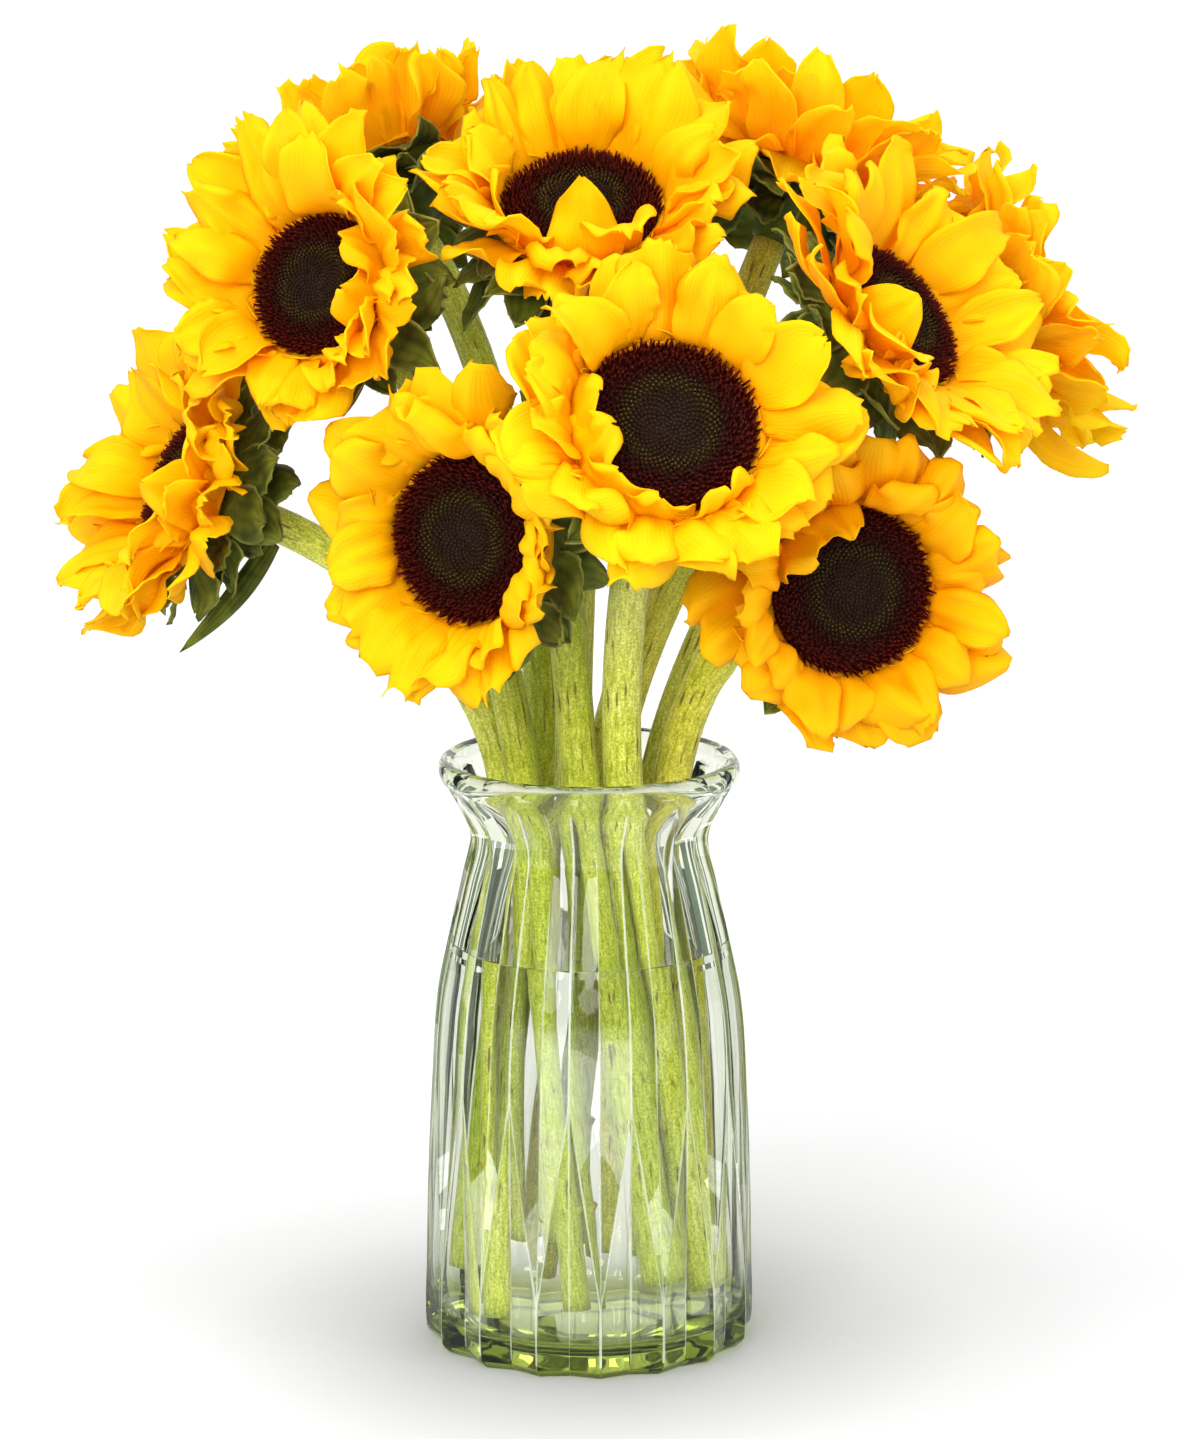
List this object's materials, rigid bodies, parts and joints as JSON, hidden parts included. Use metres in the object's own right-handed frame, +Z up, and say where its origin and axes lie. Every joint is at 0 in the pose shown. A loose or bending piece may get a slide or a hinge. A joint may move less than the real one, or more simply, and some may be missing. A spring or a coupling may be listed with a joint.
{
  "type": "sunflowers in a vase",
  "caption": "Cut sunflowers standing in water in a fluted clear glass vase with a rolled rim.",
  "frame": {"origin": "centre of the vase's flat bottom, on the surface it stands on", "axes": "+Z up along the vase; -Y is the front, the side seen in the picture; +X to its right"},
  "size_m": [0.3839, 0.2727, 0.4653],
  "materials": {
    "vase_glass": "clear pressed glass, faintly grey-green, greener in the thick floor",
    "water": "clear water",
    "stem": "pale yellow-green plant stem with fine hairs and brown scars",
    "calyx": "dull green bracts with fine hairs",
    "petal": "golden yellow petals with fine lengthwise veins",
    "disc": "dark maroon and olive-brown florets"
  },
  "bodies": {
    "root": {"vase": "vase_glass", "water": "water", "stem_centre": "stem", "calyx_centre": "calyx", "rays_centre": "petal", "disc_centre": "disc", "stem_lower_left": "stem", "calyx_lower_left": "calyx", "rays_lower_left": "petal", "disc_lower_left": "disc", "stem_lower_right": "stem", "calyx_lower_right": "calyx", "rays_lower_right": "petal", "disc_lower_right": "disc", "stem_top": "stem", "calyx_top": "calyx", "rays_top": "petal", "disc_top": "disc", "stem_upper_left": "stem", "calyx_upper_left": "calyx", "rays_upper_left": "petal", "disc_upper_left": "disc", "stem_right": "stem", "calyx_right": "calyx", "rays_right": "petal", "disc_right": "disc", "stem_far_left": "stem", "calyx_far_left": "calyx", "rays_far_left": "petal", "disc_far_left": "disc", "stem_back_left": "stem", "calyx_back_left": "calyx", "rays_back_left": "petal", "disc_back_left": "disc", "stem_back_top": "stem", "calyx_back_top": "calyx", "rays_back_top": "petal", "disc_back_top": "disc", "stem_back_right": "stem", "calyx_back_right": "calyx", "rays_back_right": "petal", "disc_back_right": "disc"}
  },
  "joints": []
}
